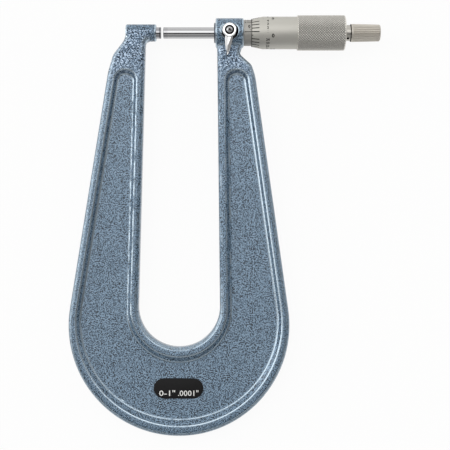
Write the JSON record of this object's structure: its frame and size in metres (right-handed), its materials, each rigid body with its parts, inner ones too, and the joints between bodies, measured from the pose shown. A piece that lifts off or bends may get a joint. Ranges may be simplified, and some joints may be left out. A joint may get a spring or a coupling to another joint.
{
  "type": "deep throat outside micrometer",
  "caption": "Outside micrometer with a deep U-shaped cast frame, a locking lever and a ratchet stop, for measuring far in from the edge of a sheet or plate.",
  "frame": {"origin": "centre of the anvil's measuring face", "axes": "+X along the spindle from the anvil towards the ratchet, -Y down the throat of the frame, +Z out of the face with the lock lever, away from the bench"},
  "size_m": [0.1746, 0.2359, 0.0203],
  "materials": {
    "hammered_enamel": "hammered blue-grey stoving enamel on cast iron, semi-gloss",
    "black_plate": "blackened thin metal plate with plain white figures",
    "ground_steel": "hardened steel, ground and lapped",
    "carbide": "lapped tungsten carbide, dark grey",
    "satin_chrome": "satin chrome plate with black filled graduations, fine diamond knurl on the grip",
    "bright_chrome": "bright chrome plate",
    "anodised_knob": "pale champagne anodised aluminium, fine turned ribs",
    "black_washer": "black oxide",
    "brass": "plain turned"
  },
  "bodies": {
    "frame": {"frame": "hammered_enamel", "name_plate": "black_plate", "anvil": "ground_steel", "anvil_tip": "carbide", "spindle_barrel": "ground_steel", "adjusting_nut": "ground_steel"},
    "graduated_sleeve": {"graduated_sleeve": "satin_chrome"},
    "spindle_feed": {"spindle_tip": "carbide"},
    "thimble": {"thimble": "satin_chrome", "spindle": "ground_steel", "ratchet_stem": "bright_chrome", "ratchet_screw": "bright_chrome"},
    "ratchet": {"ratchet_knob": "anodised_knob", "ratchet_disc": "ground_steel", "ratchet_spring": "ground_steel"},
    "lock_plug": {"lock_plug": "brass"},
    "lock_lever": {"lock_lever": "bright_chrome", "lever_washer": "black_washer", "lever_screw": "bright_chrome", "lock_screw": "ground_steel"}
  },
  "joints": [
    {"name": "sleeve_adjust", "type": "hinge", "parent": "frame", "child": "graduated_sleeve", "pos_m": [0.05, 0, 0], "axis": [1, 0, 0], "range_deg": [-20, 20]},
    {"name": "spindle_feed", "type": "slide", "parent": "frame", "child": "spindle_feed", "axis": [1, 0, 0], "range_m": [-0.0013, 0.0241]},
    {"name": "thimble_turn", "type": "hinge", "parent": "spindle_feed", "child": "thimble", "pos_m": [0.07, 0, 0], "axis": [1, 0, 0], "range_deg": [-734.5, 13665.7]},
    {"name": "ratchet_turn", "type": "hinge", "parent": "thimble", "child": "ratchet", "pos_m": [0.115, 0, 0], "axis": [1, 0, 0], "continuous": true},
    {"name": "lock_plug_slide", "type": "slide", "parent": "frame", "child": "lock_plug", "axis": [0, 0, -1], "range_m": [0, 0.0000694]},
    {"name": "lock_lever_turn", "type": "hinge", "parent": "lock_plug", "child": "lock_lever", "pos_m": [0.0384, 0, 0.008], "axis": [0, 0, 1], "range_deg": [-50, 0]}
  ],
  "couplings": [
    {"joint": "thimble_turn", "follows": "spindle_feed", "rad_per_m": 9894.8},
    {"joint": "lock_lever_turn", "follows": "lock_plug_slide", "rad_per_m": -12566}
  ]
}
